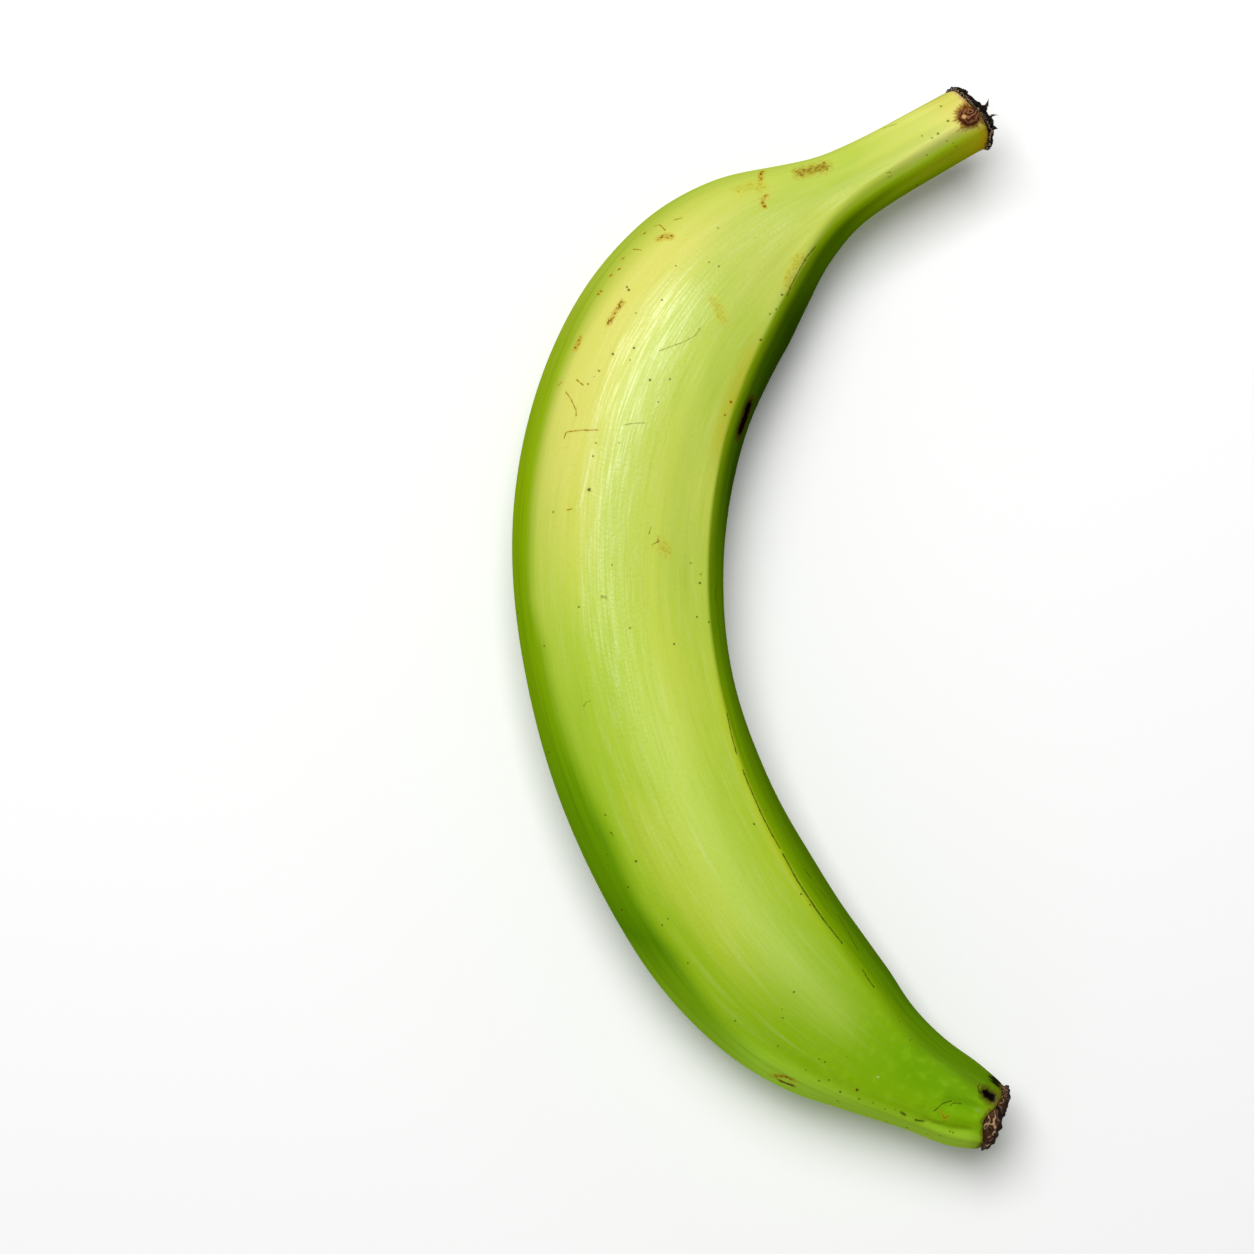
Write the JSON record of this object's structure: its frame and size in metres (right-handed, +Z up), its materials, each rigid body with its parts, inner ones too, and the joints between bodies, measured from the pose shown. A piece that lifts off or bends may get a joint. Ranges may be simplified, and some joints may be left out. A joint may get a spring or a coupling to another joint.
{
  "type": "green plantain",
  "caption": "Unripe plantain as picked, lying on its side: bent, blunt-ridged belly, drawn-out stem with a dry torn scar, and a dry flower stub.",
  "frame": {"origin": "on the surface the fruit rests on, under the middle of its box", "axes": "+Z up from the surface, +Y from the flower stub's end towards the stem's, +X towards the inner side of the bend"},
  "size_m": [0.1126, 0.2388, 0.0446],
  "materials": {
    "peel": "waxy green peel with fine lengthwise fibres, brown flecks and rubs; near-black dry ends"
  },
  "bodies": {
    "root": {"plantain": "peel"}
  },
  "joints": []
}
